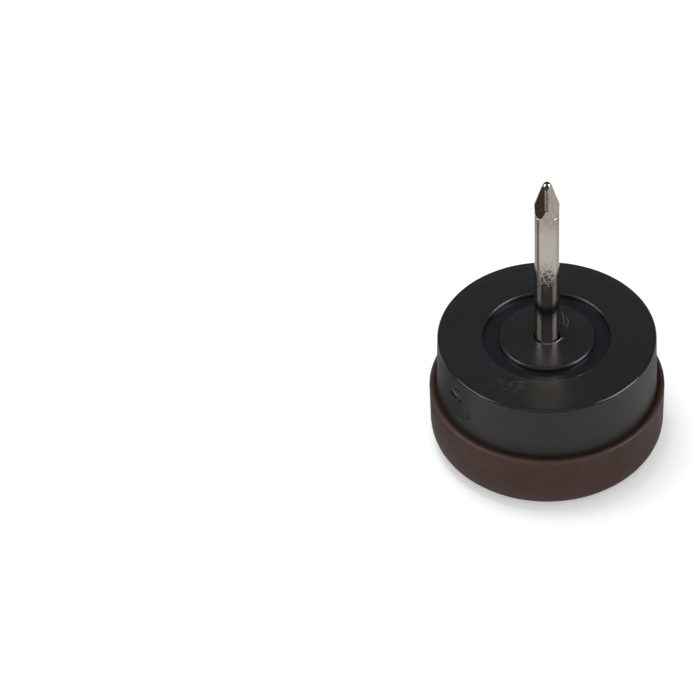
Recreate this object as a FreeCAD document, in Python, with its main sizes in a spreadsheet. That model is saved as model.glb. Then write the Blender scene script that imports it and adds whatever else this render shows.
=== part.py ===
import FreeCAD, Part
import os
import Sketcher

# Nail-on furniture glide, standing on its sole with the nail pointing up.
# A wire nail is held by its head in a hard moulded collar, which is plugged into a soft dished sole.
# Lengths are in millimetres and angles in degrees. The origin is the middle of the plane it rests on.

DRIVING_SIZES = {
    # Collar: a drafted disc with a ring groove in its top face and a beaded plug below.
    "collar_top_diameter": 22.25,
    "collar_height": 6.4,
    "collar_draft": 0.9,
    "collar_top_bevel": 0.12,
    "collar_foot_bevel": 0.15,
    "groove_inside_diameter": 9.8,
    "groove_width": 1.55,
    "groove_depth": 0.7,
    "groove_lip_bevel": 0.3,
    "plug_diameter": 17.0,
    "plug_lead": 0.5,
    "bead_reach": 0.3,
    # Nail: round wire with a flat head, a ringed root inside the collar and a four-sided diamond point.
    "nail_diameter": 2.5,
    "nail_reach": 20.8,
    "nail_head_diameter": 6.0,
    "nail_head_thickness": 1.2,
    "nail_turn": 45.0,
    "grip_neck": 0.6,
    "grip_ring_depth": 0.2,
    "grip_ring_count": 4,
    "point_facet_count": 4,
    "point_half_angle": 12.3,
    "point_nose_radius": 0.44,
    "point_nose_cone": 17.1,
    # Sole: a thick cup with a rounded foot, a flat ring to rest on and a shallow dish inside that ring.
    "sole_diameter": 24.0,
    "sole_height": 7.0,
    "sole_draft": 1.2,
    "sole_floor": 2.9,
    "sole_rim_bevel": 0.2,
    "sole_edge_round": 2.5,
    "rest_ring_width": 1.9,
    "dish_depth": 0.8,
    "dish_edge_round": 6.0,
    # Clearances between the pieces, and how far a cutting outline runs past the stock.
    "nail_clearance": 0.1,
    "head_clearance": 0.15,
    "plug_clearance": 0.05,
    "plug_end_clearance": 0.1,
    "cut_margin": 0.5,
}

FULL_TURN = 360.0
MATCH_TOLERANCE = 0.001
UP = FreeCAD.Vector(0, 0, 1)

# Lengths that follow from the driving sizes, as expressions over the sheet.
COLLAR_TOP_RADIUS = "(sizes.collar_top_diameter / 2)"
COLLAR_FOOT_RADIUS = f"({COLLAR_TOP_RADIUS} + sizes.collar_height * tan(sizes.collar_draft * 1 deg))"
GROOVE_INSIDE_RADIUS = "(sizes.groove_inside_diameter / 2)"
GROOVE_OUTSIDE_RADIUS = f"({GROOVE_INSIDE_RADIUS} + sizes.groove_width)"
PLUG_RADIUS = "(sizes.plug_diameter / 2)"
PLUG_LENGTH = "(sizes.sole_height - sizes.sole_floor - sizes.plug_end_clearance)"
PLUG_END_HEIGHT = "(sizes.sole_floor + sizes.plug_end_clearance)"
COLLAR_TOP = f"({PLUG_LENGTH} + sizes.collar_height)"
GROOVE_FLOOR = f"({COLLAR_TOP} - sizes.groove_depth)"
BEAD_MIDDLE = f"({PLUG_LENGTH} / 2)"

SHANK_RADIUS = "(sizes.nail_diameter / 2)"
HEAD_RADIUS = "(sizes.nail_head_diameter / 2)"
NAIL_LENGTH = f"({COLLAR_TOP} + sizes.nail_reach)"
NOSE_CENTRE = f"({NAIL_LENGTH} - sizes.point_nose_radius)"
NOSE_CONE = "(sizes.point_nose_cone * 1 deg)"
POINT_ANGLE = "(sizes.point_half_angle * 1 deg)"
GRIP_START = "(sizes.nail_head_thickness + sizes.grip_neck)"
GRIP_PITCH = f"(({COLLAR_TOP} - {GRIP_START}) / sizes.grip_ring_count)"

SOLE_RIM_RADIUS = "(sizes.sole_diameter / 2)"
SOLE_FOOT_RADIUS = f"({SOLE_RIM_RADIUS} - sizes.sole_height * tan(sizes.sole_draft * 1 deg))"
SOCKET_RADIUS = f"({PLUG_RADIUS} + sizes.plug_clearance)"
DISH_RADIUS = f"({SOLE_FOOT_RADIUS} - sizes.sole_edge_round - sizes.rest_ring_width)"

doc = FreeCAD.newDocument("nail_on_glide")
sheet = doc.addObject("Spreadsheet::Sheet", "sizes")


def fill_sheet():
    """Puts each driving size in a row of the sheet, under its own alias."""
    for row, (name, number) in enumerate(DRIVING_SIZES.items(), start=1):
        sheet.set(f"A{row}", name)
        sheet.set(f"B{row}", str(number))
        sheet.setAlias(f"B{row}", name)
    doc.recompute()


def number_of(expression):
    """The plain number that an expression over the sheet gives."""
    result = sheet.evalExpression(expression)
    return float(getattr(result, "Value", result))


def new_body(label):
    body = doc.addObject("PartDesign::Body", label)
    body.Label = label
    return body


def origin_feature(body, role):
    return next(feature for feature in body.Origin.OriginFeatures if feature.Role == role)


def new_sketch(body, name, plane="XZ_Plane"):
    """A sketch on one of the body's own planes. On XZ_Plane its axes are radius and height."""
    sketch = body.newObject("Sketcher::SketchObject", name)
    sketch.AttachmentSupport = [(origin_feature(body, plane), "")]
    sketch.MapMode = "FlatFace"
    return sketch


def hold_point(sketch, edge, end, radius, height):
    """Ties one end of a sketched edge to a radius and a height, each an expression over the sheet."""
    for kind, expression, zero_axis in (("DistanceX", radius, -2), ("DistanceY", height, -1)):
        if expression == "0":
            sketch.addConstraint(Sketcher.Constraint("PointOnObject", edge, end, zero_axis))
            continue
        constraint = Sketcher.Constraint(kind, -1, 1, edge, end, number_of(expression))
        index = sketch.addConstraint(constraint)
        sketch.setExpression(f"Constraints[{index}]", expression)


def point_of(corner):
    radius, height = corner
    return FreeCAD.Vector(number_of(radius), number_of(height), 0)


def draw_lines(sketch, corners, closed=True):
    """Joins corners, each a radius and a height, with straight lines. Returns how many lines there are."""
    line_count = len(corners) if closed else len(corners) - 1
    for index in range(line_count):
        start = point_of(corners[index])
        end = point_of(corners[(index + 1) % len(corners)])
        sketch.addGeometry(Part.LineSegment(start, end), False)
        hold_point(sketch, index, 1, *corners[index])
    for index in range(1, line_count):
        sketch.addConstraint(Sketcher.Constraint("Coincident", index - 1, 2, index, 1))
    if closed:
        sketch.addConstraint(Sketcher.Constraint("Coincident", line_count - 1, 2, 0, 1))
    else:
        hold_point(sketch, line_count - 1, 2, *corners[-1])
    return line_count


def close_with_cap(sketch, line_count, cap_radius):
    """Closes an open outline, whose start is on the axis, by an arc that is centred on the axis."""
    cap_edge = sketch.getPoint(line_count - 1, 2)
    pole = sketch.getPoint(0, 1)
    reach = number_of(cap_radius)
    centre = pole - FreeCAD.Vector(0, reach, 0)
    half_way = (cap_edge - centre) + (pole - centre)
    middle = centre + half_way.normalize() * reach
    cap = sketch.addGeometry(Part.Arc(cap_edge, middle, pole), False)
    sketch.addConstraint(Sketcher.Constraint("Coincident", line_count - 1, 2, cap, 1))
    sketch.addConstraint(Sketcher.Constraint("Coincident", cap, 2, 0, 1))
    sketch.addConstraint(Sketcher.Constraint("PointOnObject", cap, 3, -2))


def turn(body, kind, sketch, name):
    """Turns a sketch about the body's axis, as a Revolution that adds or a Groove that cuts."""
    volume_before = body.Shape.Volume if kind == "Groove" else None
    feature = body.newObject(f"PartDesign::{kind}", name)
    feature.Profile = sketch
    feature.ReferenceAxis = (sketch, ["V_Axis"])
    feature.Angle = FULL_TURN
    doc.recompute()
    if kind == "Groove":
        require_cut(body, name, volume_before)
    return feature


def require_cut(body, name, volume_before):
    if body.Shape.Volume >= volume_before:
        raise RuntimeError(f"{name} removes nothing from {body.Label}")


def ring_edges(shape, rings):
    """Names of the circular edges that lie at each radius and height."""
    names = []
    for radius, height in rings:
        target = point_of((radius, height))
        found = []
        for index, edge in enumerate(shape.Edges, start=1):
            if edge.Degenerated or not isinstance(edge.Curve, Part.Circle):
                continue
            misfit = max(abs(edge.Curve.Radius - target.x), abs(edge.Curve.Center.z - target.y))
            if misfit < MATCH_TOLERANCE:
                found.append(f"Edge{index}")
        if not found:
            raise RuntimeError(f"no circular edge at radius {radius}, height {height}")
        names += found
    return names


def soften(body, kind, name, size, rings):
    """Rounds or bevels circular edges: kind is Fillet or Chamfer, and size is an expression."""
    base = body.Tip
    feature = body.newObject(f"PartDesign::{kind}", name)
    feature.Base = (base, ring_edges(base.Shape, rings))
    feature.setExpression("Radius" if kind == "Fillet" else "Size", size)
    doc.recompute()


def make_collar():
    """The hard disc: drafted side, ring groove on top, beaded plug below, and the nail's stepped hole."""
    body = new_body("collar")

    outline = new_sketch(body, "collar_outline")
    corners = [
        ("0", "0"),
        (PLUG_RADIUS, "0"),
        (PLUG_RADIUS, PLUG_LENGTH),
        (COLLAR_FOOT_RADIUS, PLUG_LENGTH),
        (COLLAR_TOP_RADIUS, COLLAR_TOP),
        ("0", COLLAR_TOP),
    ]
    draw_lines(outline, corners)
    turn(body, "Revolution", outline, "collar_disc")

    bead = new_sketch(body, "bead_outline")
    draw_lines(bead, bead_corners(PLUG_RADIUS, BEAD_MIDDLE))
    turn(body, "Revolution", bead, "plug_bead")

    groove = new_sketch(body, "groove_outline")
    corners = [
        (GROOVE_INSIDE_RADIUS, GROOVE_FLOOR),
        (GROOVE_OUTSIDE_RADIUS, GROOVE_FLOOR),
        (GROOVE_OUTSIDE_RADIUS, f"({COLLAR_TOP} + sizes.cut_margin)"),
        (GROOVE_INSIDE_RADIUS, f"({COLLAR_TOP} + sizes.cut_margin)"),
    ]
    draw_lines(groove, corners)
    turn(body, "Groove", groove, "ring_groove")

    bore_nail_hole(body)

    groove_lips = [(GROOVE_INSIDE_RADIUS, COLLAR_TOP), (GROOVE_OUTSIDE_RADIUS, COLLAR_TOP)]
    soften(body, "Chamfer", "groove_lips", "sizes.groove_lip_bevel", groove_lips)
    soften(body, "Chamfer", "top_edge", "sizes.collar_top_bevel", [(COLLAR_TOP_RADIUS, COLLAR_TOP)])
    soften(body, "Chamfer", "foot_edge", "sizes.collar_foot_bevel", [(COLLAR_FOOT_RADIUS, PLUG_LENGTH)])
    soften(body, "Chamfer", "plug_lead_in", "sizes.plug_lead", [(PLUG_RADIUS, "0")])

    body.setExpression("Placement.Base.z", PLUG_END_HEIGHT)
    return body


def bead_corners(wall_radius, middle):
    """The retaining bead's outline on a wall: a ridge with 45 degree flanks, rooted inside the wall."""
    root_radius = f"({wall_radius} - sizes.bead_reach)"
    crest_radius = f"({wall_radius} + sizes.bead_reach)"
    return [
        (root_radius, f"({middle} - 2 * sizes.bead_reach)"),
        (crest_radius, middle),
        (root_radius, f"({middle} + 2 * sizes.bead_reach)"),
    ]


def bore_nail_hole(body):
    """Bores the shank's hole right through, with a flat-bottomed seat for the head in the plug's end."""
    volume_before = body.Shape.Volume
    start = new_sketch(body, "nail_hole_start", "XY_Plane")
    start.addGeometry(Part.Circle(FreeCAD.Vector(0, 0, 0), UP, number_of(SHANK_RADIUS)), False)
    start.addConstraint(Sketcher.Constraint("Coincident", 0, 3, -1, 1))
    index = start.addConstraint(Sketcher.Constraint("Radius", 0, number_of(SHANK_RADIUS)))
    start.setExpression(f"Constraints[{index}]", SHANK_RADIUS)
    doc.recompute()

    hole = body.newObject("PartDesign::Hole", "nail_hole")
    hole.Profile = start
    hole.Reversed = True
    hole.Threaded = False
    hole.DepthType = "ThroughAll"
    hole.DrillPoint = "Flat"
    hole.HoleCutType = "Counterbore"
    hole.HoleCutCustomValues = True
    hole.setExpression("Diameter", "sizes.nail_diameter + 2 * sizes.nail_clearance")
    hole.setExpression("HoleCutDiameter", "sizes.nail_head_diameter + 2 * sizes.head_clearance")
    hole.setExpression("HoleCutDepth", "sizes.nail_head_thickness")
    doc.recompute()
    require_cut(body, "nail_hole", volume_before)


def make_nail():
    """The wire nail: turned blank, ring grips where the collar holds it, and a ground diamond point."""
    body = new_body("nail")

    blank = new_sketch(body, "nail_blank_outline")
    nose_edge_radius = f"(sizes.point_nose_radius * cos({NOSE_CONE}))"
    nose_edge_height = f"({NOSE_CENTRE} + sizes.point_nose_radius * sin({NOSE_CONE}))"
    cone_drop = f"(({SHANK_RADIUS} - sizes.point_nose_radius / cos({NOSE_CONE})) / tan({NOSE_CONE}))"
    corners = [
        ("0", NAIL_LENGTH),
        ("0", "0"),
        (HEAD_RADIUS, "0"),
        (HEAD_RADIUS, "sizes.nail_head_thickness"),
        (SHANK_RADIUS, "sizes.nail_head_thickness"),
        (SHANK_RADIUS, f"({NOSE_CENTRE} - {cone_drop})"),
        (nose_edge_radius, nose_edge_height),
    ]
    line_count = draw_lines(blank, corners, closed=False)
    close_with_cap(blank, line_count, "sizes.point_nose_radius")
    turn(body, "Revolution", blank, "nail_blank")

    cut_grip_rings(body)
    grind_point(body)

    turned = FreeCAD.Rotation(UP, number_of("sizes.nail_turn"))
    body.Placement = FreeCAD.Placement(FreeCAD.Vector(), turned)
    body.setExpression("Placement.Base.z", PLUG_END_HEIGHT)
    body.setExpression("Placement.Rotation.Angle", "sizes.nail_turn")
    return body


def cut_grip_rings(body):
    """Cuts the row of barbed rings that the collar grips, from above the head to the collar's top face."""
    ring = new_sketch(body, "grip_ring_outline")
    ring_end = f"({GRIP_START} + {GRIP_PITCH})"
    outer_radius = f"({SHANK_RADIUS} + sizes.cut_margin)"
    corners = [
        (f"({SHANK_RADIUS} - sizes.grip_ring_depth)", GRIP_START),
        (outer_radius, GRIP_START),
        (outer_radius, ring_end),
        (SHANK_RADIUS, ring_end),
    ]
    draw_lines(ring, corners)
    groove = turn(body, "Groove", ring, "grip_ring")

    rings = body.newObject("PartDesign::LinearPattern", "grip_rings")
    rings.Originals = [groove]
    rings.Direction = (origin_feature(body, "Z_Axis"), [""])
    rings.setExpression("Length", f"{GRIP_PITCH} * (sizes.grip_ring_count - 1)")
    rings.setExpression("Occurrences", "sizes.grip_ring_count")
    body.Tip = rings
    doc.recompute()


def grind_point(body):
    """Grinds the flat sides of the point, with narrow lands of its cone between them.

    Each side is tangent to the small round nose at the tip.
    """
    volume_before = body.Shape.Volume
    facet = new_sketch(body, "point_facet_outline")
    nose_reach = f"(sizes.point_nose_radius / cos({POINT_ANGLE}))"
    outer_radius = f"({SHANK_RADIUS} + sizes.cut_margin)"
    top = f"({NAIL_LENGTH} + sizes.cut_margin)"
    inner_radius = f"({nose_reach} - ({top} - {NOSE_CENTRE}) * tan({POINT_ANGLE}))"
    bottom = f"({NOSE_CENTRE} - ({outer_radius} - {nose_reach}) / tan({POINT_ANGLE}))"
    draw_lines(facet, [(outer_radius, bottom), (outer_radius, top), (inner_radius, top)])
    doc.recompute()

    cut = body.newObject("PartDesign::Pocket", "point_facet")
    cut.Profile = facet
    cut.Type = "Length"
    cut.SideType = "Symmetric"
    cut.setExpression("Length", "2 * (sizes.nail_diameter + sizes.cut_margin)")
    doc.recompute()
    require_cut(body, "point_facet", volume_before)

    facets = body.newObject("PartDesign::PolarPattern", "point_facets")
    facets.Originals = [cut]
    facets.Axis = (origin_feature(body, "Z_Axis"), [""])
    facets.Angle = FULL_TURN
    facets.setExpression("Occurrences", "sizes.point_facet_count")
    body.Tip = facets
    doc.recompute()


def make_sole():
    """The soft cup: drafted side, plug socket with a bead recess, rounded foot and a dished face."""
    body = new_body("sole")

    outline = new_sketch(body, "sole_outline")
    corners = [
        ("0", "0"),
        (SOLE_FOOT_RADIUS, "0"),
        (SOLE_RIM_RADIUS, "sizes.sole_height"),
        ("0", "sizes.sole_height"),
    ]
    draw_lines(outline, corners)
    turn(body, "Revolution", outline, "sole_block")

    socket = new_sketch(body, "socket_outline")
    socket_mouth = "(sizes.sole_height + sizes.cut_margin)"
    corners = [
        ("0", "sizes.sole_floor"),
        (SOCKET_RADIUS, "sizes.sole_floor"),
        (SOCKET_RADIUS, socket_mouth),
        ("0", socket_mouth),
    ]
    draw_lines(socket, corners)
    turn(body, "Groove", socket, "plug_socket")

    recess = new_sketch(body, "bead_recess_outline")
    recess_middle = f"({PLUG_END_HEIGHT} + {BEAD_MIDDLE})"
    draw_lines(recess, bead_corners(SOCKET_RADIUS, recess_middle))
    turn(body, "Groove", recess, "bead_recess")

    dish = new_sketch(body, "dish_outline")
    dish_sphere_radius = f"(({DISH_RADIUS} ^ 2 + sizes.dish_depth ^ 2) / (2 * sizes.dish_depth))"
    line_count = draw_lines(dish, [("0", "sizes.dish_depth"), ("0", "0"), (DISH_RADIUS, "0")], closed=False)
    close_with_cap(dish, line_count, dish_sphere_radius)
    turn(body, "Groove", dish, "sole_dish")

    soften(body, "Chamfer", "rim_edge", "sizes.sole_rim_bevel", [(SOLE_RIM_RADIUS, "sizes.sole_height")])
    soften(body, "Fillet", "foot_edge", "sizes.sole_edge_round", [(SOLE_FOOT_RADIUS, "0")])
    soften(body, "Fillet", "dish_edge", "sizes.dish_edge_round", [(DISH_RADIUS, "0")])

    body.Placement = FreeCAD.Placement()
    return body


def check_document(bodies):
    """Stops if any object failed or any piece isn't one sound solid."""
    for item in doc.Objects:
        if "Invalid" in item.State or "Error" in item.State:
            raise RuntimeError(f"{item.Name} failed: {item.State}")
    for body in bodies:
        shape = body.Shape
        if shape.isNull() or not shape.isValid() or len(shape.Solids) != 1:
            raise RuntimeError(f"{body.Label} isn't one valid solid")


def write_pieces(bodies):
    os.makedirs("parts", exist_ok=True)
    for body in bodies:
        body.Shape.exportStep(f"parts/{body.Label}.step")
        print(body.Label, round(body.Shape.Volume, 3), body.Shape.BoundBox)


fill_sheet()
pieces = [make_nail(), make_collar(), make_sole()]
doc.recompute()
check_document(pieces)
write_pieces(pieces)
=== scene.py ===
import math
import bmesh
import bpy
import numpy as np
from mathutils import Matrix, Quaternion, Vector, noise


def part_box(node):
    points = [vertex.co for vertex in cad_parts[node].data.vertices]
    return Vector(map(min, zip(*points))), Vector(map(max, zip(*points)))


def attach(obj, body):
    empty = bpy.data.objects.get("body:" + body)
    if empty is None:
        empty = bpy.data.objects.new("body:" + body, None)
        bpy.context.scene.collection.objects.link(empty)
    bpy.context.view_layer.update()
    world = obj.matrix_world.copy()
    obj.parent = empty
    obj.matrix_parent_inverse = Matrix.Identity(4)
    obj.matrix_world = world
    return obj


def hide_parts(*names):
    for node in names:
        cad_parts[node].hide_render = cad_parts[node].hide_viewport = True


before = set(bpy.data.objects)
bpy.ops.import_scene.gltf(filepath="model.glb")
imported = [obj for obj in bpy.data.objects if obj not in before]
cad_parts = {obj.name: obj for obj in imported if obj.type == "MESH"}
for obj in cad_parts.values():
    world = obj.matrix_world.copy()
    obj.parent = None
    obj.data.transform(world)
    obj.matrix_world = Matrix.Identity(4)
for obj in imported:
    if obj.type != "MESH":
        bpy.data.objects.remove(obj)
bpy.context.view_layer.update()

# Lengths are in millimetres and angles in degrees. Meshes are made in metres, by this factor.
MM = 0.001

# Pieces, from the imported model.
NAIL_LOW, NAIL_HIGH = (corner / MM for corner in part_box("nail"))
COLLAR_LOW, COLLAR_HIGH = (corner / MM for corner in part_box("collar"))
SOLE_LOW, SOLE_HIGH = (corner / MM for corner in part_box("sole"))
COLLAR_TOP = COLLAR_HIGH.z
COLLAR_FOOT = SOLE_HIGH.z
PLUG_END = COLLAR_LOW.z

# Collar
COLLAR_TOP_RADIUS = 11.125
COLLAR_FOOT_RADIUS = COLLAR_HIGH.x
COLLAR_EDGE_ROUND = 0.27
COLLAR_FOOT_ROUND = 0.05
BOSS_RADIUS = 4.9
GROOVE_RADIUS = 6.45
GROOVE_DEPTH = 0.7
GROOVE_LIP_ROUND = 0.32
GROOVE_ROOT_ROUND = 0.04
HOLE_LIP_ROUND = 0.05
PLUG_RADIUS = 8.5
PLUG_LEAD = 0.5
BEAD_REACH = 0.3
NAIL_HOLE_RADIUS = 1.35
HEAD_SEAT_RADIUS = 3.15
HEAD_SEAT_DEPTH = 1.2

# Gate mark: an oval flat on the collar's side, sunk at its right, with a nick. Azimuths are counted from +X.
GATE_AZIMUTH = 217.0
GATE_HEIGHT = 10.15
GATE_HALF_HEIGHT = 2.1
GATE_HALF_WIDTH = 1.8
GATE_SINK = 0.18
GATE_EDGE = 0.1
GATE_WIDEST_TURN = 45.0

# Nick, as (right, up) from the gate mark's middle, with a raised lip, and a painted highlight on the torn
# flap beside it.
NICK_START = (-1.45, 0.7)
NICK_END = (0.1, 0.25)
NICK_HALF_WIDTH = 0.25
NICK_TAPER = 0.35
NICK_DEPTH = 0.35
NICK_LIP_RISE = 0.13
NICK_LIP_OFFSET = 0.4
FLAP_OFFSET = -0.5
FLAP_HALF_WIDTH = 0.3

# Burrs: thin raised strands of plastic on the collar's top face, as (x, y) points, with width and height.
BURR_SINK = 0.03
BURR_STEP = 0.06
BURR_WOBBLE = 0.09
BURR_WAVES_PER_MM = 3
BURR_MEAN_RISE = 0.6
HOLE_BURR = ((-0.75, -1.15), (0.05, -1.38), (0.5, -1.33), (0.95, -1.05), (1.3, -0.65), (1.65, -0.4))
HOLE_BURR_SIZE = (0.24, 0.26)
LONG_FLASH = ((1.44, 3.85), (1.62, 3.0), (1.74, 2.2), (1.68, 1.7), (1.84, 1.2))
SHORT_FLASH = ((1.95, 3.0), (2.0, 2.5), (2.2, 2.0), (2.05, 1.4), (1.98, 0.8))
FLASH_SIZE = (0.15, 0.1)
# Painted highlight: a tiny raised burr on the groove's outer lip, painted pale where the lip's edge catches
# the light.
LIP_GLINT_BURR = ((2.95, -6.05), (3.3, -5.87), (3.65, -5.66))
LIP_GLINT_SIZE = (0.14, 0.04)

# Nail
SHANK_RADIUS = 1.25
HEAD_RADIUS = NAIL_HIGH.x
HEAD_THICKNESS = 1.2
HEAD_ROUND = 0.15

# Nail's point: four flat sides, a round nose, and narrow conical lands between the sides.
NOSE_RADIUS = 0.44
NOSE_CONE = 17.1
NOSE_BEVEL = 24.0
NOSE_CENTRE = NAIL_HIGH.z - NOSE_RADIUS
LAND_RISE = 0.06
LAND_TOP_RADIUS = NOSE_RADIUS / math.cos(math.radians(NOSE_CONE)) + LAND_RISE
LAND_FOOT = NOSE_CENTRE - (SHANK_RADIUS - LAND_TOP_RADIUS) / math.tan(math.radians(NOSE_CONE))
POINT_HALF_ANGLE = 12.3
FACET_COUNT = 4
FACET_TURN = 45.0
FACET_RUN = (SHANK_RADIUS * math.sqrt(2) - NOSE_RADIUS) / math.tan(math.radians(POINT_HALF_ANGLE))
FACET_FOOT = NAIL_HIGH.z - NOSE_RADIUS - FACET_RUN
FACET_LIP_RISE = 0.03
FACET_LIP_REACH = 0.03
RIDGE_SOFTNESS = 0.012

# Bounds that keep the point's sums in range: a least softness, a steepest power, and sides seen edge on.
LEAST_SOFTNESS = 1e-6
STEEPEST_POWER = 60
EDGE_ON = 0.05
FAR_OFF = 10.0

# Sole
SOLE_RIM_RADIUS = SOLE_HIGH.x
SOLE_DRAFT = 1.2
SOLE_RIM_ROUND = 0.25
SOLE_EDGE_ROUND = 2.5
SOLE_FACE_MARGIN = 0.05
SOLE_FLOOR = 2.9
SOCKET_RADIUS = 8.55
DISH_RADIUS = 7.45
DISH_DEPTH = 0.8
DISH_SOFTNESS = 0.07

# Mesh fineness
ARC_STEPS = 8
NOSE_STEPS = 24
SOLE_FACE_STEPS = 48
COLLAR_SEGMENTS = 600
SOLE_SEGMENTS = 320
NAIL_SEGMENTS = 288
FINE_RUN = 0.12
COARSE_RUN = 1.0
POINT_RUN = 0.03
SHARP_ANGLE = 35.0

# Colours are linear. Noise mostly keeps between these two values.
NOISE_LOW = 0.3
NOISE_HIGH = 0.7
WHITE = (1.0, 1.0, 1.0, 1.0)

# Steel
PLATE_DARK = (0.50, 0.455, 0.41)
PLATE_LIGHT = (0.56, 0.505, 0.45)
GROUND_DARK = (0.385, 0.335, 0.29)
GROUND_LIGHT = (0.465, 0.41, 0.36)
STEEL_SMOOTH = 0.1
STEEL_ROUGH = 0.15
GROUND_FULL = FACET_FOOT + 2.0

# Chafed stretch of the shank: its heights, and how far forward it lies.
CHAFE_COLOUR = (0.115, 0.082, 0.064)
CHAFE_FOOT = COLLAR_TOP + 7.3
CHAFE_FULL = CHAFE_FOOT + 0.8
CHAFE_THINS = CHAFE_FOOT + 2.2
CHAFE_HEAD = COLLAR_TOP + 11.4
CHAFE_FRONT = -1.12
CHAFE_BACK = -0.95

# Dents along the front and back lands: their distance off the middle, and their heights.
DENT_HALF_WIDTH = 0.12
DENT_REACH = 0.2
DENT_FULL = LAND_FOOT + 0.1
DENT_THINS = NOSE_CENTRE - 0.35
DENT_HEAD = NOSE_CENTRE - 0.15

# Plastic: a smooth top face, a glossier edge and a duller side.
TOP_NEUTRAL = (0.0180, 0.0180, 0.0172)
TOP_BLUISH = (0.0182, 0.0196, 0.0216)
SIDE_DARK = (0.0186, 0.0168, 0.0150)
SIDE_LIGHT = (0.0222, 0.0203, 0.0184)
GATE_COLOUR = (0.0110, 0.0112, 0.0098)
# Painted shade: the groove is coloured darker than the top to stand for the shade inside it.
GROOVE_SHADE_COLOUR = (0.0118, 0.0132, 0.0165)
# Painted highlight: the pale colour stands for light caught by the torn flap.
FLAP_HIGHLIGHT_COLOUR = (0.080, 0.078, 0.074)
# Painted shade: the nick's torn faces are painted near-black.
NICK_SHADE_DARK = (0.002, 0.002, 0.002)
NICK_SHADE_LIGHT = (0.008, 0.008, 0.007)
# Painted highlight: the raised strands of flash are painted pale for the light they catch.
FLASH_GLINT_DARK = (0.07, 0.07, 0.072)
FLASH_GLINT_LIGHT = (0.19, 0.186, 0.178)
TOP_ROUGHNESS = 0.29
EDGE_ROUGHNESS = 0.14
SIDE_ROUGHNESS = 0.48
FLASH_SMOOTH = 0.25
FLASH_ROUGH = 0.4
GLOSS_FOOT = COLLAR_TOP - 0.5
GLOSS_HEAD = COLLAR_TOP - 0.2
EDGE_BAND = COLLAR_TOP_RADIUS - 0.4
EDGE_BAND_FULL = COLLAR_TOP_RADIUS - 0.1
GROOVE_END = GROOVE_RADIUS + 0.1
GATE_FADE = 0.9

# Marks on the collar's top, with their reach along x and y: a pale smudge and a dull brown stain.
SMUDGE_PLACE = (-3.6, -7.1)
SMUDGE_REACH = (2.3, 1.6)
SMUDGE_STREAKS = (0.48, 0.58)
SMUDGE_COLOUR = (0.040, 0.040, 0.036)
STAIN_PLACE = (-0.2, -8.5)
STAIN_REACH = (1.4, 2.0)
STAIN_STREAKS = (0.38, 0.52)
STAIN_COLOUR = (0.024, 0.0195, 0.0085)
STAIN_ROUGHNESS = 0.4
MARK_FADE = 0.5

# Rubber: its rim is painted dark beside the collar as painted shade, its outer edge is painted pale as a
# painted highlight, and its foot is painted a little paler for the light bounced up from the floor.
RUBBER_DARK = (0.0690, 0.0390, 0.0330)
RUBBER_LIGHT = (0.0820, 0.0480, 0.0410)
# Painted shade on the rim beside the collar.
RIM_SHADE_COLOUR = (0.030, 0.0155, 0.0115)
# Painted highlight on the rim's outer edge.
EDGE_HIGHLIGHT_COLOUR = (0.095, 0.059, 0.049)
# Painted light: the foot is painted paler for the light bounced up from the floor.
FOOT_BOUNCE_COLOUR = (0.094, 0.0555, 0.051)
RUBBER_SMOOTH = 0.48
RUBBER_ROUGH = 0.62
EDGE_SHEEN = 0.36
RIM_FOOT = COLLAR_FOOT - 0.12
RIM_FULL = COLLAR_FOOT - 0.02
RIM_RADIUS = COLLAR_FOOT_RADIUS + 0.3
RIM_END = COLLAR_FOOT_RADIUS + 0.45
EDGE_FOOT = COLLAR_FOOT - 0.35
EDGE_FULL = COLLAR_FOOT - 0.2
EDGE_START = SOLE_RIM_RADIUS - 0.25
EDGE_RADIUS = SOLE_RIM_RADIUS - 0.12
BOUNCE_FULL_HEIGHT = 1.2
BOUNCE_END_HEIGHT = 3.4

# Camera, fitted to the photograph's frame.
PHOTO_PIXELS = 696
FOCAL_PIXELS = 6902.0
SENSOR_WIDTH = 36.0
CAMERA_ELEVATION = 43.2
CAMERA_DISTANCE = 700.0
AIM_PIXELS_RIGHT = 198.9
AIM_PIXELS_UP = 12.7

# Lights: a softbox at each side, a dimmer one over the camera, and a key light high at the back left.
LIGHT_DISTANCE = 500.0
SIDE_AZIMUTH = 78.0
SIDE_ELEVATION = 29.0
SIDE_SIZE = (310.0, 440.0)
LEFT_BRIGHTNESS = 4.0
RIGHT_BRIGHTNESS = 5.6
FILL_AZIMUTH = 0.0
FILL_ELEVATION = 52.0
FILL_SIZE = (420.0, 240.0)
FILL_BRIGHTNESS = 0.9
KEY_AZIMUTH = -118.0
KEY_ELEVATION = 78.0
KEY_SIZE = (200.0, 200.0)
KEY_BRIGHTNESS = 6.0
WATTS_PER_AREA = 4.0

# Room and floor
ROOM_LIGHT = 0.4
ROOM_MIRRORED = 0.08
FLOOR_RADIUS = 1500.0
FLOOR_DROP = 0.01
FLOOR_ALBEDO = 0.88
FLOOR_LIFT_SEEN = 0.4
FLOOR_LIFT_MIRRORED = 0.09

# Flags and cards that only reflections see, each a block from its low corner to its high one.
LEFT_FLAG = ((-54.0, -20.0, 0.0), (-33.0, 5.0, 24.0))
# The grey card on the floor stands for a neighbouring piece lying there, with painted shade for its shadow.
LEFT_CARD = ((-33.0, -7.0, 0.0), (-15.0, 6.0, 0.5))
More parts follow.
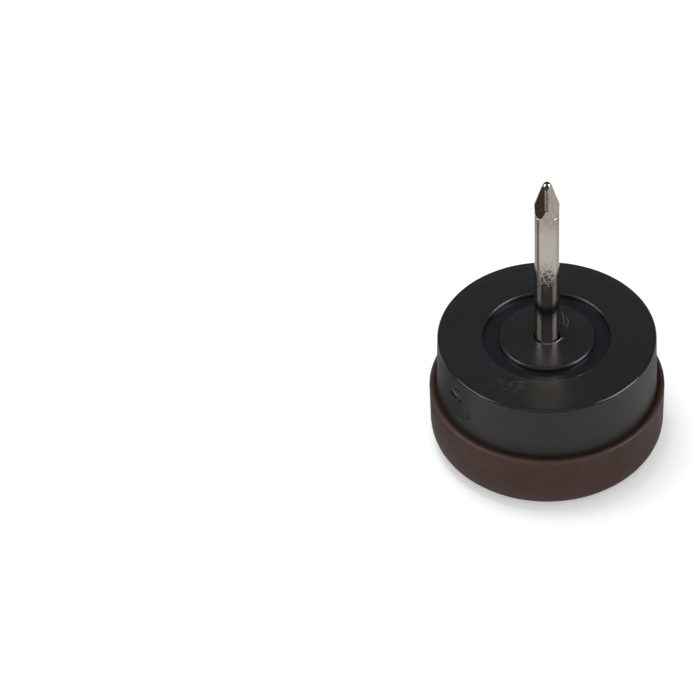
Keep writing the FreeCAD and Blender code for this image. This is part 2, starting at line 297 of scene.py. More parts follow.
# Painted shade: the two pale cards stand for the shadowed floor behind the object, as its reflections see
# it.
LEFT_BACK_SHADE_CARD = ((-36.0, 6.0, 0.0), (-14.0, 30.0, 0.5))
RIGHT_BACK_SHADE_CARD = ((14.0, 4.0, 0.0), (36.0, 30.0, 0.5))
FRONT_FLAG = ((-200.0, -500.0, 0.0), (200.0, -60.0, 1.0))
TIP_FLAG = ((-13.0, -24.0, 48.0), (13.0, -16.0, 68.0))
BACK_CARD = ((-40.0, 41.0, 40.0), (40.0, 80.0, 41.0))
DARK_FLAG = (0.16, 0.15, 0.14)
GREY_FLAG = (0.3, 0.29, 0.28)
PALE_SHADE_CARD = (0.6, 0.6, 0.59)
PALER_SHADE_CARD = (0.7, 0.7, 0.69)
BLUISH_FLAG = (0.39, 0.46, 0.51)

# Faces of a block, whose corners are counted round its foot and then round its top.
BLOCK_FACES = ((3, 2, 1, 0), (4, 5, 6, 7), (0, 1, 5, 4), (1, 2, 6, 5), (2, 3, 7, 6), (3, 0, 4, 7))

# Sockets of a Mix node that mixes colours.
MIX_SHARE = 0
MIX_FIRST = 6
MIX_SECOND = 7
MIX_RESULT = 2


def corner_arc(before, corner, after, rounding):
    """Points of the arc that softens a corner between its two neighbours."""
    back = (before - corner).normalized()
    ahead = (after - corner).normalized()
    half_angle = back.angle(ahead) / 2
    centre = corner + (back + ahead).normalized() * (rounding / math.sin(half_angle))
    start = corner + back * (rounding / math.tan(half_angle)) - centre
    end = corner + ahead * (rounding / math.tan(half_angle)) - centre
    sweep = start.angle(end)
    points = []
    for step in range(ARC_STEPS + 1):
        share = step / ARC_STEPS
        start_weight = math.sin((1 - share) * sweep) / math.sin(sweep)
        end_weight = math.sin(share * sweep) / math.sin(sweep)
        points.append(centre + start * start_weight + end * end_weight)
    return points


def softened(corners):
    """An outline of points from corners, each a radius, a height and a rounding."""
    places = [Vector((radius, height)) for radius, height, _ in corners]
    points = []
    for index, (_, _, rounding) in enumerate(corners):
        if rounding == 0:
            points.append(places[index])
            continue
        after = places[(index + 1) % len(places)]
        points += corner_arc(places[index - 1], places[index], after, rounding)
    return points


def divided(points, longest):
    """The same outline with long runs cut into shorter ones."""
    result = [points[0]]
    for start, end in zip(points, points[1:]):
        pieces = max(1, math.ceil((end - start).length / longest))
        result += [start.lerp(end, step / pieces) for step in range(1, pieces + 1)]
    return result


def turned_piece(name, outline, segments, relief=None):
    """Turns an outline of (radius, height) points about the Z axis. Ends on the axis become poles.

    relief takes arrays of radius, angle and height and gives the radius and height to use instead.
    """
    angles = np.linspace(0, 2 * math.pi, segments, endpoint=False)
    radius, angle = np.meshgrid([point.x for point in outline], angles, indexing="ij")
    height = np.meshgrid([point.y for point in outline], angles, indexing="ij")[0]
    if relief:
        radius, height = relief(radius, angle, height)
    places = np.stack([radius * np.cos(angle), radius * np.sin(angle), height], -1) * MM

    has_poles = outline[0].x == 0
    ring_count = len(outline)
    vertices = places.reshape(-1, 3).tolist()
    faces = []
    for ring in range(ring_count - 1 if has_poles else ring_count):
        low = ring * segments
        high = (ring + 1) % ring_count * segments
        for step in range(segments):
            following = (step + 1) % segments
            if has_poles and ring == 0:
                faces.append((0, high + following, high + step))
            elif has_poles and ring == ring_count - 2:
                faces.append((low + step, low + following, high))
            else:
                faces.append((low + step, low + following, high + following, high + step))
    return mesh_object(name, vertices, faces)


def mesh_object(name, vertices, faces):
    """A new object in the scene, smooth but for its sharp edges."""
    mesh = bpy.data.meshes.new(name)
    mesh.from_pydata(vertices, [], faces)
    mesh.validate()
    drop_loose_points(mesh)
    mesh.shade_smooth()
    mesh.set_sharp_from_angle(angle=math.radians(SHARP_ANGLE))
    piece = bpy.data.objects.new(name, mesh)
    bpy.context.scene.collection.objects.link(piece)
    return piece


def drop_loose_points(mesh):
    """Removes the spare points that poles leave behind."""
    work = bmesh.new()
    work.from_mesh(mesh)
    loose = [point for point in work.verts if not point.link_faces]
    bmesh.ops.delete(work, geom=loose, context="VERTS")
    work.to_mesh(mesh)
    work.free()


def dress(piece, node, material):
    """Lets a piece stand for its node, on the one rigid body, with its finish."""
    piece.data.materials.append(material)
    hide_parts(node)
    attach(piece, "root")


def make_collar(material, torn_shade_material):
    """The hard disc with its ring groove, nail hole and hidden beaded plug."""
    groove_floor = COLLAR_TOP - GROOVE_DEPTH
    bead_middle = (PLUG_END + COLLAR_FOOT) / 2
    seat_roof = PLUG_END + HEAD_SEAT_DEPTH
    corners = [
        (HEAD_SEAT_RADIUS, PLUG_END, 0),
        (PLUG_RADIUS - PLUG_LEAD, PLUG_END, 0),
        (PLUG_RADIUS, PLUG_END + PLUG_LEAD, 0),
        (PLUG_RADIUS, bead_middle - BEAD_REACH, 0),
        (PLUG_RADIUS + BEAD_REACH, bead_middle, 0),
        (PLUG_RADIUS, bead_middle + BEAD_REACH, 0),
        (PLUG_RADIUS, COLLAR_FOOT, 0),
        (COLLAR_FOOT_RADIUS, COLLAR_FOOT, COLLAR_FOOT_ROUND),
        (COLLAR_TOP_RADIUS, COLLAR_TOP, COLLAR_EDGE_ROUND),
        (GROOVE_RADIUS, COLLAR_TOP, GROOVE_LIP_ROUND),
        (GROOVE_RADIUS, groove_floor, GROOVE_ROOT_ROUND),
        (BOSS_RADIUS, groove_floor, GROOVE_ROOT_ROUND),
        (BOSS_RADIUS, COLLAR_TOP, GROOVE_LIP_ROUND),
        (NAIL_HOLE_RADIUS, COLLAR_TOP, HOLE_LIP_ROUND),
        (NAIL_HOLE_RADIUS, seat_roof, 0),
        (HEAD_SEAT_RADIUS, seat_roof, 0),
    ]
    points = softened(corners)
    outline = []
    for start, end in zip(points, points[1:] + points[:1]):
        on_side = min(start.x, end.x) > COLLAR_TOP_RADIUS - COLLAR_EDGE_ROUND
        outline += divided([start, end], FINE_RUN if on_side else COARSE_RUN)[:-1]
    collar = turned_piece("collar_moulding", outline, COLLAR_SEGMENTS, trim_gate)
    dress(collar, "collar", material)
    tear_and_shade_nick(collar, torn_shade_material)


def gate_directions():
    """Straight out from the gate mark, and to the right along it."""
    turn = math.radians(GATE_AZIMUTH)
    outward = Vector((math.cos(turn), math.sin(turn), 0))
    rightward = Vector((-math.sin(turn), math.cos(turn), 0))
    return outward, rightward


def beside_nick(across, up):
    """Share of the way along the gate mark's nick, and the distance off its line."""
    nick = Vector(NICK_END) - Vector(NICK_START)
    from_start = across - NICK_START[0], up - NICK_START[1]
    along = (from_start[0] * nick.x + from_start[1] * nick.y) / nick.length_squared
    aside = (from_start[0] * nick.y - from_start[1] * nick.x) / nick.length
    return along, aside


def tear_and_shade_nick(collar, material):
    """Gives the faces inside the gate mark's nick a torn finish, painted near-black as painted shade."""
    collar.data.materials.append(material)
    outward, rightward = gate_directions()
    for face in collar.data.polygons:
        place = face.center / MM
        along, aside = beside_nick(place.dot(rightward), place.z - GATE_HEIGHT)
        half_width = NICK_HALF_WIDTH * (1 - NICK_TAPER * along)
        if place.dot(outward) > BOSS_RADIUS and 0 < along < 1 and abs(aside) < half_width:
            face.material_index = 1


def trim_gate(radius, angle, height):
    """Sinks an oval flat into the collar's side, where the moulding's gate was cut off, and nicks it."""
    turn = angle - math.radians(GATE_AZIMUTH)
    across = radius * np.sin(turn)
    up = height - GATE_HEIGHT
    from_edge = 1 - np.hypot(across / GATE_HALF_WIDTH, up / GATE_HALF_HEIGHT)
    inside = np.clip(from_edge * GATE_HALF_WIDTH / GATE_EDGE, 0, 1)
    rightward = (1 + np.clip(across / GATE_HALF_WIDTH, -1, 1)) / 2
    chord = np.sqrt(np.maximum(radius ** 2 - GATE_HALF_WIDTH ** 2, 0)) - GATE_SINK
    flat = chord / np.maximum(np.cos(turn), math.cos(math.radians(GATE_WIDEST_TURN)))
    sunk = radius + (np.minimum(flat, radius) - radius) * inside * rightward

    along, aside = beside_nick(across, up)
    run_out = np.clip(1 - (2 * along - 1) ** 2, 0, 1)
    bite = np.clip(1 - np.abs(aside) / NICK_HALF_WIDTH, 0, 1)
    lip = np.clip(1 - np.abs(aside + NICK_LIP_OFFSET) / NICK_LIP_OFFSET, 0, 1)
    sunk = sunk + (NICK_LIP_RISE * lip - NICK_DEPTH * bite) * run_out

    on_side = (radius > COLLAR_TOP_RADIUS - COLLAR_EDGE_ROUND) & (np.cos(turn) > 0)
    return np.where(on_side, sunk, radius), height


def burr_section(place, ahead, taper, size):
    """The three corners of a burr at one point: two at its foot, and its crest."""
    width, rise = size
    side = Vector((-ahead.y, ahead.x))
    wander = noise.noise((place.x * BURR_WAVES_PER_MM, place.y * BURR_WAVES_PER_MM, 0))
    middle = place + side * BURR_WOBBLE * wander
    foot = COLLAR_TOP - BURR_SINK
    crest = COLLAR_TOP + rise * taper * (1 + wander) * BURR_MEAN_RISE
    corners = []
    for across, height in ((-1 / 2, foot), (1 / 2, foot), (0, crest)):
        corner = middle + side * width * across * taper
        corners.append((corner.x * MM, corner.y * MM, height * MM))
    return corners


def make_burr(name, places, size, material):
    """A thin, tapered ridge that lies on the collar's top face along some points."""
    line = divided([Vector(place) for place in places], BURR_STEP)
    vertices = []
    for index, place in enumerate(line):
        ahead = (line[min(index + 1, len(line) - 1)] - line[max(index - 1, 0)]).normalized()
        taper = math.sqrt(math.sin(math.pi * (index + 1 / 2) / len(line)))
        vertices += burr_section(place, ahead, taper, size)
    corner_count = len(vertices) // len(line)
    last = len(vertices) - corner_count
    faces = [tuple(reversed(range(corner_count))), tuple(range(last, len(vertices)))]
    for low in range(0, last, corner_count):
        high = low + corner_count
        for corner in range(corner_count):
            following = (corner + 1) % corner_count
            faces.append((low + corner, low + following, high + following, high + corner))
    burr = mesh_object(name, vertices, faces)
    burr.data.materials.append(material)
    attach(burr, "root")


def nail_outline():
    """The turned blank, from its head's middle up to the top of its round nose."""
    bevel = math.radians(NOSE_BEVEL)
    corners = [
        (0, NAIL_LOW.z, 0),
        (HEAD_RADIUS, NAIL_LOW.z, HEAD_ROUND),
        (HEAD_RADIUS, NAIL_LOW.z + HEAD_THICKNESS, HEAD_ROUND),
        (SHANK_RADIUS, NAIL_LOW.z + HEAD_THICKNESS, 0),
    ]
    point_run = [
        Vector((SHANK_RADIUS, FACET_FOOT)),
        Vector((SHANK_RADIUS, LAND_FOOT)),
        Vector((LAND_TOP_RADIUS, NOSE_CENTRE)),
    ]
    for step in range(NOSE_STEPS + 1):
        angle = bevel + (math.pi / 2 - bevel) * step / NOSE_STEPS
        radius = NOSE_RADIUS * math.cos(angle)
        height = NOSE_CENTRE + NOSE_RADIUS * math.sin(angle)
        point_run.append(Vector((radius, height)))
    point_run[-1].x = 0
    return softened(corners) + divided(point_run, POINT_RUN)


def grind_point(radius, angle, height):
    """Takes the flat sides off the nail's point, with softened ridges and a thin lip below each side."""
    half_angle = math.radians(POINT_HALF_ANGLE)
    reach = NOSE_RADIUS / math.cos(half_angle) - (height - NOSE_CENTRE) * math.tan(half_angle)
    softness = RIDGE_SOFTNESS * np.clip(radius, 0, 1) + LEAST_SOFTNESS
    total = np.ones_like(radius)
    nearest = np.full_like(radius, FAR_OFF)
    for facet in range(FACET_COUNT):
        facing = np.cos(angle - math.radians(FACET_TURN) - 2 * math.pi * facet / FACET_COUNT)
        side = np.where(facing > EDGE_ON, reach / np.maximum(facing, EDGE_ON), radius + FAR_OFF)
        power = np.clip((side - radius) / softness, -STEEPEST_POWER, STEEPEST_POWER)
        total = total + np.exp(-power)
        nearest = np.minimum(nearest, side - radius)
    on_shank = (radius > SHANK_RADIUS - FACET_LIP_REACH) & (nearest > 0)
    lip = np.where(on_shank, FACET_LIP_RISE * np.exp(-(nearest / FACET_LIP_REACH) ** 2), 0)
    ground = radius - softness * np.log(total) + lip
    return np.where(height > COLLAR_TOP, np.maximum(ground, 0), radius), height


def make_nail(material):
    """The wire nail with its head and its four-sided point."""
    nail = turned_piece("wire_nail", nail_outline(), NAIL_SEGMENTS, grind_point)
    dress(nail, "nail", material)


def dish_height(radius):
    """Height of the sole's face over the floor: a shallow dish that runs out softly on a flat ring."""
    dish = DISH_DEPTH * (1 - (radius / DISH_RADIUS) ** 2)
    return (dish + math.sqrt(dish ** 2 + DISH_SOFTNESS ** 2)) / 2


def make_sole(material):
    """The soft cup with its rounded foot, dished face and hidden socket."""
    foot_radius = SOLE_RIM_RADIUS - (COLLAR_FOOT - SOLE_LOW.z) * math.tan(math.radians(SOLE_DRAFT))
    face_edge = foot_radius - SOLE_EDGE_ROUND - SOLE_FACE_MARGIN
    outline = []
    for step in range(SOLE_FACE_STEPS + 1):
        radius = face_edge * step / SOLE_FACE_STEPS
        outline.append(Vector((radius, dish_height(radius))))
    corners = [
        (face_edge, 0, 0),
        (foot_radius, 0, SOLE_EDGE_ROUND),
        (SOLE_RIM_RADIUS, COLLAR_FOOT, SOLE_RIM_ROUND),
        (SOCKET_RADIUS, COLLAR_FOOT, 0),
        (SOCKET_RADIUS, SOLE_FLOOR, 0),
        (0, SOLE_FLOOR, 0),
    ]
    outline += divided(softened(corners)[1:], COARSE_RUN)
    sole = turned_piece("soft_sole", outline, SOLE_SEGMENTS)
    dress(sole, "sole", material)


class Finish:
    """A node material, with short calls that add nodes and join them."""

    def __init__(self, name):
        self.material = bpy.data.materials.new(name)
        self.material.use_nodes = True
        self.tree = self.material.node_tree
        self.shader = self.tree.nodes["Principled BSDF"]

    def add(self, kind, inputs=None, **settings):
        """A new node with these settings and inputs."""
        node = self.tree.nodes.new(f"ShaderNode{kind}")
        for name, setting in settings.items():
            setattr(node, name, setting)
        for socket, given in (inputs or {}).items():
            self.put(node.inputs[socket], given)
        return node

    def put(self, socket, given):
        """Sets a socket to a value, or joins another node's output to it."""
        if isinstance(given, bpy.types.NodeSocket):
            self.tree.links.new(given, socket)
        else:
            socket.default_value = given

    def surface(self, **sockets):
        """Fills the shader's sockets, with underscores for the spaces in their names."""
        for name, given in sockets.items():
            self.put(self.shader.inputs[name.replace("_", " ")], given)

    def number(self, operation, *given):
        """The result of a calculation with numbers."""
        return self.add("Math", dict(enumerate(given)), operation=operation).outputs[0]

    def product(self, first, second):
        return self.number("MULTIPLY", first, second)

    def vector(self, operation, *given):
        """The outputs of a calculation with vectors."""
        return self.add("VectorMath", dict(enumerate(given)), operation=operation).outputs

    def place(self, stretch=(1, 1, 1)):
        """The point on the piece in millimetres, squeezed or stretched along each axis."""
        coordinates = self.add("TexCoord").outputs["Object"]
        scale = [share / MM for share in stretch]
        return self.vector("MULTIPLY", coordinates, scale)[0]

    def along(self, axis):
        """Distance from the origin along X, Y or Z, in millimetres."""
        return self.add("SeparateXYZ", {0: self.place()}).outputs[axis]

    def past(self, start):
        """The point on the piece, counted from a start."""
        return self.vector("SUBTRACT", self.place(), start)[0]

    def reach(self, place, direction):
        """How far a point lies along a direction."""
        return self.vector("DOT_PRODUCT", place, direction)["Value"]

    def length(self, vector):
        return self.vector("LENGTH", vector)["Value"]

    def radius(self):
        """Distance from the nail's axis in millimetres."""
        return self.length(self.place((1, 1, 0)))

    def noise(self, place, per_mm, detail=3.0, roughness=0.5):
        """Cloudy noise, mostly between NOISE_LOW and NOISE_HIGH."""
        inputs = {"Vector": place, "Scale": per_mm, "Detail": detail, "Roughness": roughness}
        return self.add("TexNoise", inputs).outputs["Fac"]

    def spread(self, value, low, high, to_low, to_high):
        """Carries a value from one range over to another, and stops at its ends."""
        inputs = {"Value": value, "From Min": low, "From Max": high, "To Min": to_low, "To Max": to_high}
        return self.add("MapRange", inputs).outputs["Result"]

    def rise(self, value, low, high):
        """0 up to the low value, and 1 from the high one on."""
        return self.spread(value, low, high, 0, 1)

    def fall(self, value, low, high):
        """1 up to the low value, and 0 from the high one on."""
        return self.spread(value, low, high, 1, 0)

    def blend(self, share, colour, other):
        """One colour where the share is 0, the other where it is 1."""
        inputs = {MIX_SHARE: share, MIX_FIRST: self.opaque(colour), MIX_SECOND: self.opaque(other)}
        return self.add("Mix", inputs, data_type="RGBA").outputs[MIX_RESULT]

    def opaque(self, colour):
        """A plain colour with full alpha. A node's colour stays as it is."""
        return colour if isinstance(colour, bpy.types.NodeSocket) else (*colour, 1.0)

    def tones(self, value, dark, light, low=NOISE_LOW, high=NOISE_HIGH):
        """One colour up to the low value, and the other from the high one on."""
        ramp = self.add("ValToRGB", {"Fac": value})
        first, last = ramp.color_ramp.elements
        first.position = low
        first.color = self.opaque(dark)
        last.position = high
        last.color = self.opaque(light)
        return ramp.outputs["Color"]

    def bump(self, height, depth, under=None):
        """Relief of this depth in millimetres, over any relief given."""
        inputs = {"Height": height, "Distance": depth * MM}
        if under:
            inputs["Normal"] = under
        return self.add("Bump", inputs).outputs["Normal"]


def on_chafe(finish, height):
    """1 on the chafed front of the shank, and 0 elsewhere."""
    in_front = finish.fall(finish.along("Y"), CHAFE_FRONT, CHAFE_BACK)
    below_head = finish.product(in_front, finish.fall(height, CHAFE_THINS, CHAFE_HEAD))
    return finish.product(below_head, finish.rise(height, CHAFE_FOOT, CHAFE_FULL))


def on_land(finish, height):
    """1 on the front and back lands of the nail's point, and 0 elsewhere."""
    off_middle = finish.number("ABSOLUTE", finish.along("X"))
    above_foot = finish.rise(height, LAND_FOOT, DENT_FULL)
    below_nose = finish.fall(height, DENT_THINS, DENT_HEAD)
    near_middle = finish.fall(off_middle, DENT_HALF_WIDTH, DENT_REACH)
    return finish.product(near_middle, finish.product(above_foot, below_nose))


def plated_steel():
    """Bright nickel plate over drawn wire, with fine lines along it, a ground point and a chafed stretch."""
    finish = Finish("plated_steel")
    height = finish.along("Z")
    lines = finish.noise(finish.place(stretch=(1, 1, 0.03)), per_mm=16.0, detail=4.0)
    peel = finish.noise(finish.place(), per_mm=5.0, detail=2.0)
    cloud = finish.noise(finish.place(stretch=(1, 1, 0.4)), per_mm=0.9, detail=2.0)
    chafe = finish.noise(finish.place(stretch=(1, 1, 0.8)), per_mm=3.5, detail=5.0, roughness=0.7)
    dents = finish.noise(finish.place(stretch=(1.6, 1, 0.5)), per_mm=4.0)
    patches = finish.noise(finish.place(), per_mm=2.6, roughness=0.6)

    plate = finish.tones(cloud, PLATE_DARK, PLATE_LIGHT, low=0.35, high=0.65)
    ground = finish.tones(patches, GROUND_DARK, GROUND_LIGHT, low=0.42, high=0.6)
    colour = finish.blend(finish.rise(height, FACET_FOOT, GROUND_FULL), plate, ground)
    chafed = on_chafe(finish, height)
    stain = finish.product(chafed, finish.rise(chafe, low=0.49, high=0.57))
    colour = finish.blend(stain, colour, CHAFE_COLOUR)

    relief = finish.bump(lines, depth=0.0003)
    relief = finish.bump(finish.product(chafed, chafe), depth=0.02, under=relief)
    relief = finish.bump(finish.product(on_land(finish, height), dents), depth=0.16, under=relief)
    finish.surface(
        Base_Color=colour,
        Metallic=1.0,
        Roughness=finish.spread(lines, NOISE_LOW, NOISE_HIGH, STEEL_SMOOTH, STEEL_ROUGH),
        Normal=finish.bump(peel, depth=0.002, under=relief),
    )
    return finish.material


def on_flap_highlight(finish):
    """1 on the painted highlight of the torn flap beside the nick of the collar's gate mark, and 0
    elsewhere.
    """
    outward, rightward = gate_directions()
    start = rightward * NICK_START[0] + Vector((0, 0, GATE_HEIGHT + NICK_START[1]))
    end = rightward * NICK_END[0] + Vector((0, 0, GATE_HEIGHT + NICK_END[1]))
    length = (end - start).length
    ahead = (end - start).normalized()
    place = finish.past(start)
    along = finish.reach(place, ahead)
    aside = finish.reach(place, ahead.cross(outward))
    off_line = finish.number("ABSOLUTE", finish.number("SUBTRACT", aside, FLAP_OFFSET))
    across = finish.fall(off_line, FLAP_HALF_WIDTH / 2, FLAP_HALF_WIDTH)
    past_start = finish.rise(along, 0, length / 6)
    before_end = finish.fall(along, length / 2, length)
    near_side = finish.rise(finish.reach(place, outward), 0, 1)
    return finish.product(finish.product(across, past_start), finish.product(before_end, near_side))


def on_gate(finish):
    """1 on the oval of the collar's gate mark, and 0 round it."""
    outward, rightward = gate_directions()
    place = finish.past(Vector((0, 0, GATE_HEIGHT)))
    across = finish.reach(place, rightward / GATE_HALF_WIDTH)
    up = finish.reach(place, Vector((0, 0, 1 / GATE_HALF_HEIGHT)))
    oval = finish.length(finish.add("CombineXYZ", {0: across, 1: up}).outputs[0])
    near_side = finish.rise(finish.reach(place, outward), 0, 1)
    return finish.product(near_side, finish.fall(oval, GATE_FADE, 1))


def top_mark(finish, place, reach, streak_range):
    """A streaky patch on the collar's top: up to 1 inside its reach, and 0 outside."""
    scale = (1 / reach[0], 1 / reach[1], 1)
    away = finish.length(finish.vector("MULTIPLY", finish.past((*place, COLLAR_TOP)), scale)[0])
    streaks = finish.noise(finish.place(stretch=(0.7, 1.5, 1)), per_mm=2.0, roughness=0.6)
    return finish.product(finish.fall(away, MARK_FADE, 1), finish.rise(streaks, *streak_range))


def black_plastic():
    """Smooth black moulding with a soft gloss. Its side is duller and browner, and its groove is painted
    darker as painted shade.
    """
    finish = Finish("black_plastic")
    height = finish.along("Z")
    radius = finish.radius()
    grain = finish.noise(finish.place(), per_mm=5.0)
    swell = finish.noise(finish.place(), per_mm=0.4, detail=1.0)
    cloud = finish.noise(finish.place(), per_mm=0.2, detail=2.0)
    off_top = finish.fall(height, GLOSS_FOOT, GLOSS_HEAD)
    outside = finish.rise(radius, EDGE_BAND, EDGE_BAND_FULL)
    on_side = finish.product(outside, off_top)
    in_groove_shade = finish.product(finish.fall(radius, GROOVE_RADIUS, GROOVE_END), off_top)
    smudge = top_mark(finish, SMUDGE_PLACE, SMUDGE_REACH, SMUDGE_STREAKS)
    stain = top_mark(finish, STAIN_PLACE, STAIN_REACH, STAIN_STREAKS)

    top = finish.tones(cloud, TOP_NEUTRAL, TOP_BLUISH)
    side = finish.blend(on_gate(finish), finish.tones(grain, SIDE_DARK, SIDE_LIGHT), GATE_COLOUR)
    colour = finish.blend(on_side, top, side)
    # Painted shade in the groove.
    colour = finish.blend(in_groove_shade, colour, GROOVE_SHADE_COLOUR)
    colour = finish.blend(smudge, colour, SMUDGE_COLOUR)
    colour = finish.blend(stain, colour, STAIN_COLOUR)
    # Painted highlight on the torn flap beside the nick.
    colour = finish.blend(on_flap_highlight(finish), colour, FLAP_HIGHLIGHT_COLOUR)

    roughness = finish.spread(outside, 0, 1, TOP_ROUGHNESS, EDGE_ROUGHNESS)
    roughness = finish.spread(stain, 0, 1, roughness, STAIN_ROUGHNESS)
    finish.surface(
        Base_Color=colour,
        Specular_IOR_Level=0.36,
        Roughness=finish.spread(on_side, 0, 1, roughness, SIDE_ROUGHNESS),
        Normal=finish.bump(swell, depth=0.004, under=finish.bump(grain, depth=0.0005)),
    )
    return finish.material


def torn_plastic_in_shade():
    """Rough torn plastic deep in the nick, painted near-black with almost no gloss as painted shade."""
    finish = Finish("torn_plastic_in_shade")
    grain = finish.noise(finish.place(), per_mm=8.0)
    colour = finish.tones(grain, NICK_SHADE_DARK, NICK_SHADE_LIGHT)
    finish.surface(Base_Color=colour, Roughness=0.9, Specular_IOR_Level=0.04)
    return finish.material


def glinting_flash():
    """Thin torn plastic, painted pale as a painted highlight for the light that its thin strands catch."""
    finish = Finish("glinting_flash")
    grain = finish.noise(finish.place(), per_mm=12.0)
    finish.surface(
        Base_Color=finish.tones(grain, FLASH_GLINT_DARK, FLASH_GLINT_LIGHT),
        Roughness=finish.spread(grain, NOISE_LOW, NOISE_HIGH, FLASH_SMOOTH, FLASH_ROUGH),
    )
    return finish.material


def brown_rubber():
    """Matte brown rubber with a fine moulded grain."""
    finish = Finish("brown_rubber")
    height = finish.along("Z")
    radius = finish.radius()
    grain = finish.noise(finish.place(), per_mm=5.0, detail=4.0)
    cloud = finish.noise(finish.place(), per_mm=0.5, detail=2.0)
    on_rim_shade = finish.product(
        finish.rise(height, RIM_FOOT, RIM_FULL),
        finish.fall(radius, RIM_RADIUS, RIM_END))
    on_edge = finish.product(
        finish.rise(height, EDGE_FOOT, EDGE_FULL),
        finish.rise(radius, EDGE_START, EDGE_RADIUS))
    on_lit_foot = finish.fall(height, BOUNCE_FULL_HEIGHT, BOUNCE_END_HEIGHT)

    colour = finish.tones(cloud, RUBBER_DARK, RUBBER_LIGHT)
    # Painted shade on the rim beside the collar.
    colour = finish.blend(on_rim_shade, colour, RIM_SHADE_COLOUR)
    # Painted highlight: the rim's outer edge is painted paler.
    colour = finish.blend(on_edge, colour, EDGE_HIGHLIGHT_COLOUR)
    # Painted light: the foot is painted paler for the floor's bounce.
    colour = finish.blend(on_lit_foot, colour, FOOT_BOUNCE_COLOUR)
    matte = finish.spread(grain, NOISE_LOW, NOISE_HIGH, RUBBER_SMOOTH, RUBBER_ROUGH)
    finish.surface(
        Base_Color=colour,
        Roughness=finish.spread(on_edge, 0, 1, matte, EDGE_SHEEN),
        Specular_IOR_Level=0.12,
        Normal=finish.bump(grain, depth=0.008),
    )
    return finish.material


def add_floor():
    """A pale floor that shows white to the camera, and keeps the shadow."""
    reach = FLOOR_RADIUS * MM
    corners = [(x * reach, y * reach, -FLOOR_DROP * MM) for x, y in ((-1, -1), (1, -1), (1, 1), (-1, 1))]
    floor = mesh_object("studio_floor", corners, [(0, 1, 2, 3)])
    finish = Finish("studio_white")
    path = finish.add("LightPath").outputs
    mirrored = finish.number("MAXIMUM", path["Is Glossy Ray"], path["Is Transmission Ray"])
    mirrored_lift = finish.spread(mirrored, 0, 1, 0, FLOOR_LIFT_MIRRORED)
    finish.surface(
        Base_Color=finish.opaque((FLOOR_ALBEDO, FLOOR_ALBEDO, FLOOR_ALBEDO)),
        Roughness=1.0,
        Specular_IOR_Level=0.0,
        Emission_Color=WHITE,
        Emission_Strength=finish.spread(path["Is Camera Ray"], 0, 1, mirrored_lift, FLOOR_LIFT_SEEN),
    )
    floor.data.materials.append(finish.material)


def add_flag(name, block, colour):
    """A block that neither the camera nor the lights see: it only shows in gloss."""
    (left, front, bottom), (right, back, top) = block
    foot = ((left, front), (right, front), (right, back), (left, back))
    corners = [(x * MM, y * MM, z * MM) for z in (bottom, top) for x, y in foot]
    flag = mesh_object(name, corners, BLOCK_FACES)
    finish = Finish(name)
    finish.surface(Base_Color=finish.opaque(colour), Roughness=1.0, Specular_IOR_Level=0.0)
    flag.data.materials.append(finish.material)
    flag.visible_camera = False
    flag.visible_diffuse = False
    flag.visible_shadow = False


def add_softbox(name, azimuth, elevation, size, brightness, in_diffuse=True, in_gloss=True):
    """A soft light that faces the object. Azimuth 0 is the camera's side, and brightness 1 is white."""
    width, height = (length * MM for length in size)
    data = bpy.data.lights.new(name, "AREA")
    data.shape = "RECTANGLE"
    data.size = width
    data.size_y = height
    data.energy = brightness * WATTS_PER_AREA * width * height
    light = bpy.data.objects.new(name, data)
    turn = math.radians(azimuth)
    lift = math.radians(elevation)
    outward = Vector((math.sin(turn) * math.cos(lift), -math.cos(turn) * math.cos(lift), math.sin(lift)))
    light.location = Vector((0, 0, COLLAR_TOP * MM)) + outward * LIGHT_DISTANCE * MM
    light.rotation_mode = "QUATERNION"
    light.rotation_quaternion = (-outward).to_track_quat("-Z", "Y")
    light.visible_camera = False
    light.visible_diffuse = in_diffuse
    light.visible_glossy = in_gloss
    bpy.context.scene.collection.objects.link(light)


def add_world():
    """A dim room, darker in reflections, which shows white to the camera."""
    world = bpy.data.worlds.new("studio")
    world.use_nodes = True
    bpy.context.scene.world = world
    nodes = world.node_tree.nodes
    links = world.node_tree.links
    path = nodes.new("ShaderNodeLightPath").outputs
    mirrored = nodes.new("ShaderNodeMapRange")
    mirrored.inputs["To Min"].default_value = ROOM_LIGHT
    mirrored.inputs["To Max"].default_value = ROOM_MIRRORED
    links.new(path["Is Glossy Ray"], mirrored.inputs["Value"])
    strength = nodes.new("ShaderNodeMapRange")
    strength.inputs["To Max"].default_value = 1.0
    links.new(mirrored.outputs["Result"], strength.inputs["To Min"])
    links.new(path["Is Camera Ray"], strength.inputs["Value"])
    links.new(strength.outputs["Result"], nodes["Background"].inputs["Strength"])
    nodes["Background"].inputs["Color"].default_value = WHITE


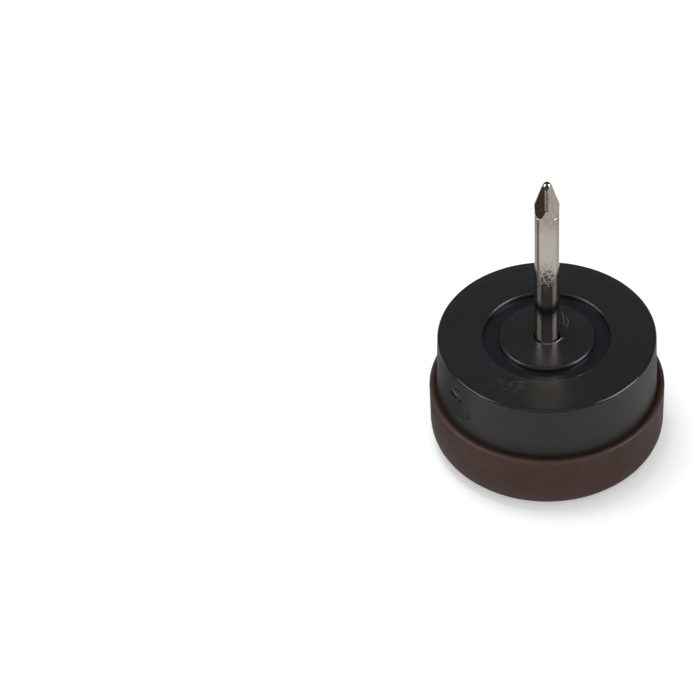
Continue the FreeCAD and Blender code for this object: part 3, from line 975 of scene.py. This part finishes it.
def add_camera():
    """The photograph's view: the collar's top stands right of the frame's middle."""
    data = bpy.data.cameras.new("photo_camera")
    data.sensor_width = SENSOR_WIDTH
    data.lens = FOCAL_PIXELS / PHOTO_PIXELS * SENSOR_WIDTH
    camera = bpy.data.objects.new("photo_camera", data)
    lift = math.radians(CAMERA_ELEVATION)
    back = Vector((0, -math.cos(lift), math.sin(lift)))
    pan = Quaternion((0, 1, 0), math.atan2(AIM_PIXELS_RIGHT, FOCAL_PIXELS))
    tilt = Quaternion((1, 0, 0), -math.atan2(AIM_PIXELS_UP, FOCAL_PIXELS))
    camera.location = Vector((0, 0, COLLAR_TOP * MM)) + back * CAMERA_DISTANCE * MM
    camera.rotation_mode = "QUATERNION"
    camera.rotation_quaternion = (-back).to_track_quat("-Z", "Y") @ pan @ tilt
    bpy.context.scene.collection.objects.link(camera)
    bpy.context.scene.camera = camera


make_nail(plated_steel())
make_collar(black_plastic(), torn_plastic_in_shade())
make_sole(brown_rubber())
flash = glinting_flash()
make_burr("hole_burr", HOLE_BURR, HOLE_BURR_SIZE, flash)
make_burr("long_flash", LONG_FLASH, FLASH_SIZE, flash)
make_burr("short_flash", SHORT_FLASH, FLASH_SIZE, flash)
make_burr("lip_glint", LIP_GLINT_BURR, LIP_GLINT_SIZE, flash)
add_floor()
add_flag("left_flag", LEFT_FLAG, DARK_FLAG)
add_flag("left_card", LEFT_CARD, GREY_FLAG)
add_flag("left_back_shade_card", LEFT_BACK_SHADE_CARD, PALE_SHADE_CARD)
add_flag("right_back_shade_card", RIGHT_BACK_SHADE_CARD, PALER_SHADE_CARD)
add_flag("front_flag", FRONT_FLAG, GREY_FLAG)
add_flag("tip_flag", TIP_FLAG, DARK_FLAG)
add_flag("back_card", BACK_CARD, BLUISH_FLAG)
add_softbox("left_softbox", -SIDE_AZIMUTH, SIDE_ELEVATION, SIDE_SIZE, LEFT_BRIGHTNESS, in_diffuse=False)
add_softbox("right_softbox", SIDE_AZIMUTH, SIDE_ELEVATION, SIDE_SIZE, RIGHT_BRIGHTNESS, in_diffuse=False)
add_softbox("fill_softbox", FILL_AZIMUTH, FILL_ELEVATION, FILL_SIZE, FILL_BRIGHTNESS)
add_softbox("key_softbox", KEY_AZIMUTH, KEY_ELEVATION, KEY_SIZE, KEY_BRIGHTNESS, in_gloss=False)
add_world()
add_camera()
bpy.context.scene.view_settings.view_transform = "Standard"
